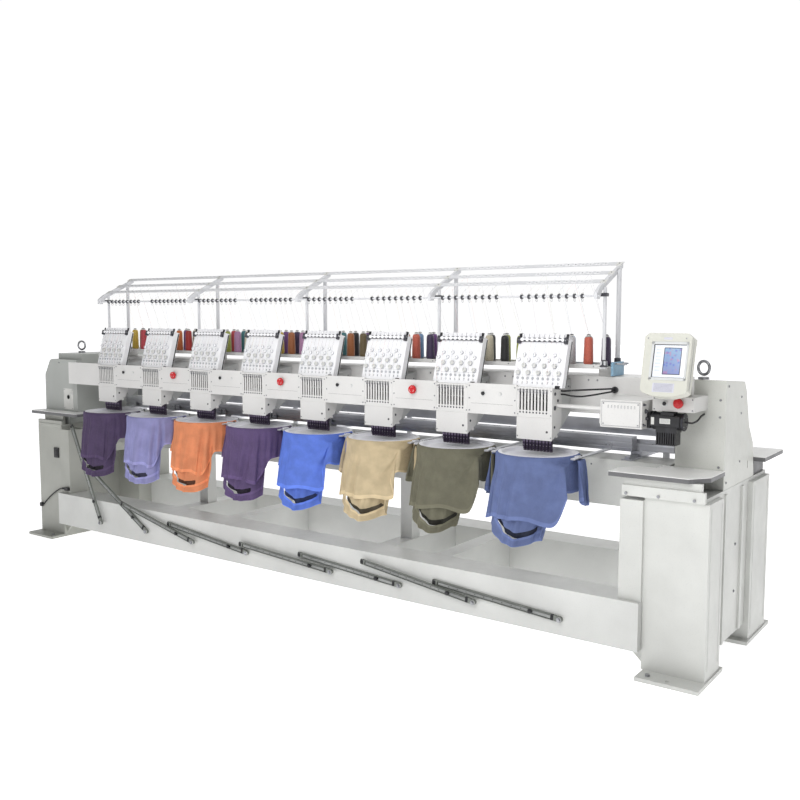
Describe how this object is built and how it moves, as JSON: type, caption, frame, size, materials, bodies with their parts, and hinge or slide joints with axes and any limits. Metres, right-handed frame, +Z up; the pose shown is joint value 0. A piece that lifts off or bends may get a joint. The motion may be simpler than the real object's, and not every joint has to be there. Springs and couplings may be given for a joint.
{
  "type": "multi-head embroidery machine",
  "caption": "Long tubular-arm embroidery machine: sewing heads in a row on a beam, thread cones above, shirts hooped over slim lower arms, on a welded steel base.",
  "frame": {"origin": "on the floor, under the middle of the machine's bounding box", "axes": "+X along the row of heads to the operator's right, -Y towards the operator, +Z up"},
  "size_m": [4.831, 1.26, 1.8151],
  "materials": {
    "grey_paint": "satin",
    "cream_paint": "satin",
    "bright_steel": "satin",
    "aluminium_rail": "anodised",
    "cast_housing": "painted",
    "table_laminate": "smooth",
    "board_plastic": "matte",
    "panel_plastic": "matte",
    "black_plastic": "matte",
    "cable_sheath": "matte",
    "dark_iron": "painted",
    "thread": "wound thread",
    "hoop_plastic": "smooth",
    "shirt_cotton": "jersey",
    "red_plastic": "gloss",
    "leg_paint": "satin"
  },
  "bodies": {
    "machine": {"base_frame": "grey_paint", "left_pedestal": "grey_paint", "right_pedestal": "grey_paint", "lifting_eyes_and_bolts": "bright_steel", "bed_beam": "grey_paint", "upper_beam": "cream_paint", "left_housing": "cream_paint", "right_housing": "cream_paint", "arm_housings": "cast_housing", "cylinder_arms": "grey_paint", "side_tables": "table_laminate", "spool_rack": "cream_paint", "thread_cones": "thread", "thread_tree": "bright_steel", "colour_change_box": "cream_paint", "colour_change_motor": "dark_iron", "control_station": "cream_paint", "power_inlet": "black_plastic", "mains_lead": "cable_sheath", "cable_loops": "cable_sheath", "pantograph_rails": "aluminium_rail", "main_drive": "dark_iron"},
    "carriage": {"head_cases": "cream_paint", "tension_boards": "board_plastic", "link_plates": "cream_paint", "idle_needle_sets": "bright_steel"},
    "needle_bars": {"needle_bars": "bright_steel"},
    "presser_feet": {"presser_feet": "bright_steel"},
    "take_up_levers": {"take_up_levers": "bright_steel"},
    "upper_shaft": {"upper_shaft": "bright_steel"},
    "lower_shaft": {"lower_shaft": "bright_steel"},
    "pantograph_y": {"pantograph_y_frame": "aluminium_rail"},
    "pantograph_x": {"pantograph_x_frame": "aluminium_rail", "hoops": "hoop_plastic", "garments": "shirt_cotton"},
    "operator_panel": {"operator_panel": "panel_plastic"},
    "rotary_hook_1": {"rotary_hook_1": "bright_steel"},
    "rotary_hook_2": {"rotary_hook_2": "bright_steel"},
    "rotary_hook_3": {"rotary_hook_3": "bright_steel"},
    "rotary_hook_4": {"rotary_hook_4": "bright_steel"},
    "rotary_hook_5": {"rotary_hook_5": "bright_steel"},
    "rotary_hook_6": {"rotary_hook_6": "bright_steel"},
    "rotary_hook_7": {"rotary_hook_7": "bright_steel"},
    "rotary_hook_8": {"rotary_hook_8": "bright_steel"},
    "table_leg_1": {"table_leg_1": "leg_paint"},
    "table_leg_2": {"table_leg_2": "leg_paint"},
    "table_leg_3": {"table_leg_3": "leg_paint"},
    "table_leg_4": {"table_leg_4": "leg_paint"},
    "table_leg_5": {"table_leg_5": "leg_paint"},
    "table_leg_6": {"table_leg_6": "leg_paint"},
    "table_leg_7": {"table_leg_7": "leg_paint"},
    "table_leg_8": {"table_leg_8": "leg_paint"},
    "stop_button_1": {"stop_button_1": "red_plastic"},
    "stop_button_2": {"stop_button_2": "red_plastic"},
    "stop_button_3": {"stop_button_3": "red_plastic"},
    "main_stop_button": {"main_stop_button": "red_plastic"},
    "start_button_1": {"start_button_1": "black_plastic"},
    "start_button_2": {"start_button_2": "black_plastic"},
    "start_button_3": {"start_button_3": "black_plastic"},
    "start_button_4": {"start_button_4": "black_plastic"}
  },
  "joints": [
    {"name": "colour_change", "type": "slide", "parent": "machine", "child": "carriage", "axis": [1, 0, 0], "range_m": [-0.068, 0.068], "deforming": ["cable_loops"]},
    {"name": "needle_stroke", "type": "slide", "parent": "carriage", "child": "needle_bars", "axis": [0, 0, -1], "range_m": [0, 0.032]},
    {"name": "presser_stroke", "type": "slide", "parent": "carriage", "child": "presser_feet", "axis": [0, 0, -1], "range_m": [0, 0.012]},
    {"name": "take_up_swing", "type": "hinge", "parent": "carriage", "child": "take_up_levers", "pos_m": [0, -0.395, 1.165], "axis": [1, 0, 0], "range_deg": [0, 50]},
    {"name": "upper_shaft_turn", "type": "hinge", "parent": "machine", "child": "upper_shaft", "pos_m": [0, -0.095, 1.19], "axis": [1, 0, 0], "continuous": true},
    {"name": "lower_shaft_turn", "type": "hinge", "parent": "machine", "child": "lower_shaft", "pos_m": [0, -0.095, 0.802], "axis": [1, 0, 0], "continuous": true},
    {"name": "pantograph_y_slide", "type": "slide", "parent": "machine", "child": "pantograph_y", "axis": [0, 1, 0], "range_m": [-0.05, 0.05]},
    {"name": "pantograph_x_slide", "type": "slide", "parent": "pantograph_y", "child": "pantograph_x", "axis": [1, 0, 0], "range_m": [-0.075, 0.075]},
    {"name": "panel_tilt", "type": "hinge", "parent": "machine", "child": "operator_panel", "pos_m": [2.1895, -0.32, 1.285], "axis": [1, 0, 0], "range_deg": [-20, 10]},
    {"name": "rotary_hook_1_turn", "type": "hinge", "parent": "machine", "child": "rotary_hook_1", "pos_m": [-1.575, -0.3, 0.862], "axis": [0, 1, 0], "continuous": true},
    {"name": "rotary_hook_2_turn", "type": "hinge", "parent": "machine", "child": "rotary_hook_2", "pos_m": [-1.125, -0.3, 0.862], "axis": [0, 1, 0], "continuous": true},
    {"name": "rotary_hook_3_turn", "type": "hinge", "parent": "machine", "child": "rotary_hook_3", "pos_m": [-0.675, -0.3, 0.862], "axis": [0, 1, 0], "continuous": true},
    {"name": "rotary_hook_4_turn", "type": "hinge", "parent": "machine", "child": "rotary_hook_4", "pos_m": [-0.225, -0.3, 0.862], "axis": [0, 1, 0], "continuous": true},
    {"name": "rotary_hook_5_turn", "type": "hinge", "parent": "machine", "child": "rotary_hook_5", "pos_m": [0.225, -0.3, 0.862], "axis": [0, 1, 0], "continuous": true},
    {"name": "rotary_hook_6_turn", "type": "hinge", "parent": "machine", "child": "rotary_hook_6", "pos_m": [0.675, -0.3, 0.862], "axis": [0, 1, 0], "continuous": true},
    {"name": "rotary_hook_7_turn", "type": "hinge", "parent": "machine", "child": "rotary_hook_7", "pos_m": [1.125, -0.3, 0.862], "axis": [0, 1, 0], "continuous": true},
    {"name": "rotary_hook_8_turn", "type": "hinge", "parent": "machine", "child": "rotary_hook_8", "pos_m": [1.575, -0.3, 0.862], "axis": [0, 1, 0], "continuous": true},
    {"name": "table_leg_1_swing", "type": "hinge", "parent": "machine", "child": "table_leg_1", "pos_m": [-1.603, -0.528, 0.183], "axis": [0, 1, 0], "range_deg": [0, 25]},
    {"name": "table_leg_2_swing", "type": "hinge", "parent": "machine", "child": "table_leg_2", "pos_m": [-1.153, -0.5145, 0.183], "axis": [0, 1, 0], "range_deg": [0, 59]},
    {"name": "table_leg_3_swing", "type": "hinge", "parent": "machine", "child": "table_leg_3", "pos_m": [-0.703, -0.528, 0.183], "axis": [0, 1, 0], "range_deg": [0, 77]},
    {"name": "table_leg_4_swing", "type": "hinge", "parent": "machine", "child": "table_leg_4", "pos_m": [-0.253, -0.5145, 0.183], "axis": [0, 1, 0], "range_deg": [0, 83.5]},
    {"name": "table_leg_5_swing", "type": "hinge", "parent": "machine", "child": "table_leg_5", "pos_m": [0.396, -0.528, 0.183], "axis": [0, 1, 0], "range_deg": [0, 86]},
    {"name": "table_leg_6_swing", "type": "hinge", "parent": "machine", "child": "table_leg_6", "pos_m": [0.846, -0.5145, 0.183], "axis": [0, 1, 0], "range_deg": [0, 85.5]},
    {"name": "table_leg_7_swing", "type": "hinge", "parent": "machine", "child": "table_leg_7", "pos_m": [1.296, -0.528, 0.183], "axis": [0, 1, 0], "range_deg": [0, 82.5]},
    {"name": "table_leg_8_swing", "type": "hinge", "parent": "machine", "child": "table_leg_8", "pos_m": [1.746, -0.5145, 0.183], "axis": [0, 1, 0], "range_deg": [0, 85.5]},
    {"name": "stop_button_1_press", "type": "slide", "parent": "carriage", "child": "stop_button_1", "axis": [0, 1, 0], "range_m": [0, 0.006], "stiffness_N_per_m": 900},
    {"name": "stop_button_2_press", "type": "slide", "parent": "carriage", "child": "stop_button_2", "axis": [0, 1, 0], "range_m": [0, 0.006], "stiffness_N_per_m": 900},
    {"name": "stop_button_3_press", "type": "slide", "parent": "carriage", "child": "stop_button_3", "axis": [0, 1, 0], "range_m": [0, 0.006], "stiffness_N_per_m": 900},
    {"name": "main_stop_button_press", "type": "slide", "parent": "machine", "child": "main_stop_button", "axis": [0, 1, 0], "range_m": [0, 0.006], "stiffness_N_per_m": 900},
    {"name": "start_button_1_press", "type": "slide", "parent": "carriage", "child": "start_button_1", "axis": [0, 1, 0], "range_m": [0, 0.004], "stiffness_N_per_m": 500},
    {"name": "start_button_2_press", "type": "slide", "parent": "carriage", "child": "start_button_2", "axis": [0, 1, 0], "range_m": [0, 0.004], "stiffness_N_per_m": 500},
    {"name": "start_button_3_press", "type": "slide", "parent": "carriage", "child": "start_button_3", "axis": [0, 1, 0], "range_m": [0, 0.004], "stiffness_N_per_m": 500},
    {"name": "start_button_4_press", "type": "slide", "parent": "carriage", "child": "start_button_4", "axis": [0, 1, 0], "range_m": [0, 0.004], "stiffness_N_per_m": 500}
  ],
  "couplings": [
    {"joint": "presser_stroke", "follows": "needle_stroke", "ratio": 0.375},
    {"joint": "take_up_swing", "follows": "needle_stroke", "rad_per_m": 27.2},
    {"joint": "lower_shaft_turn", "follows": "upper_shaft_turn", "ratio": 1},
    {"joint": "rotary_hook_1_turn", "follows": "upper_shaft_turn", "ratio": 2},
    {"joint": "rotary_hook_2_turn", "follows": "upper_shaft_turn", "ratio": 2},
    {"joint": "rotary_hook_3_turn", "follows": "upper_shaft_turn", "ratio": 2},
    {"joint": "rotary_hook_4_turn", "follows": "upper_shaft_turn", "ratio": 2},
    {"joint": "rotary_hook_5_turn", "follows": "upper_shaft_turn", "ratio": 2},
    {"joint": "rotary_hook_6_turn", "follows": "upper_shaft_turn", "ratio": 2},
    {"joint": "rotary_hook_7_turn", "follows": "upper_shaft_turn", "ratio": 2},
    {"joint": "rotary_hook_8_turn", "follows": "upper_shaft_turn", "ratio": 2}
  ]
}
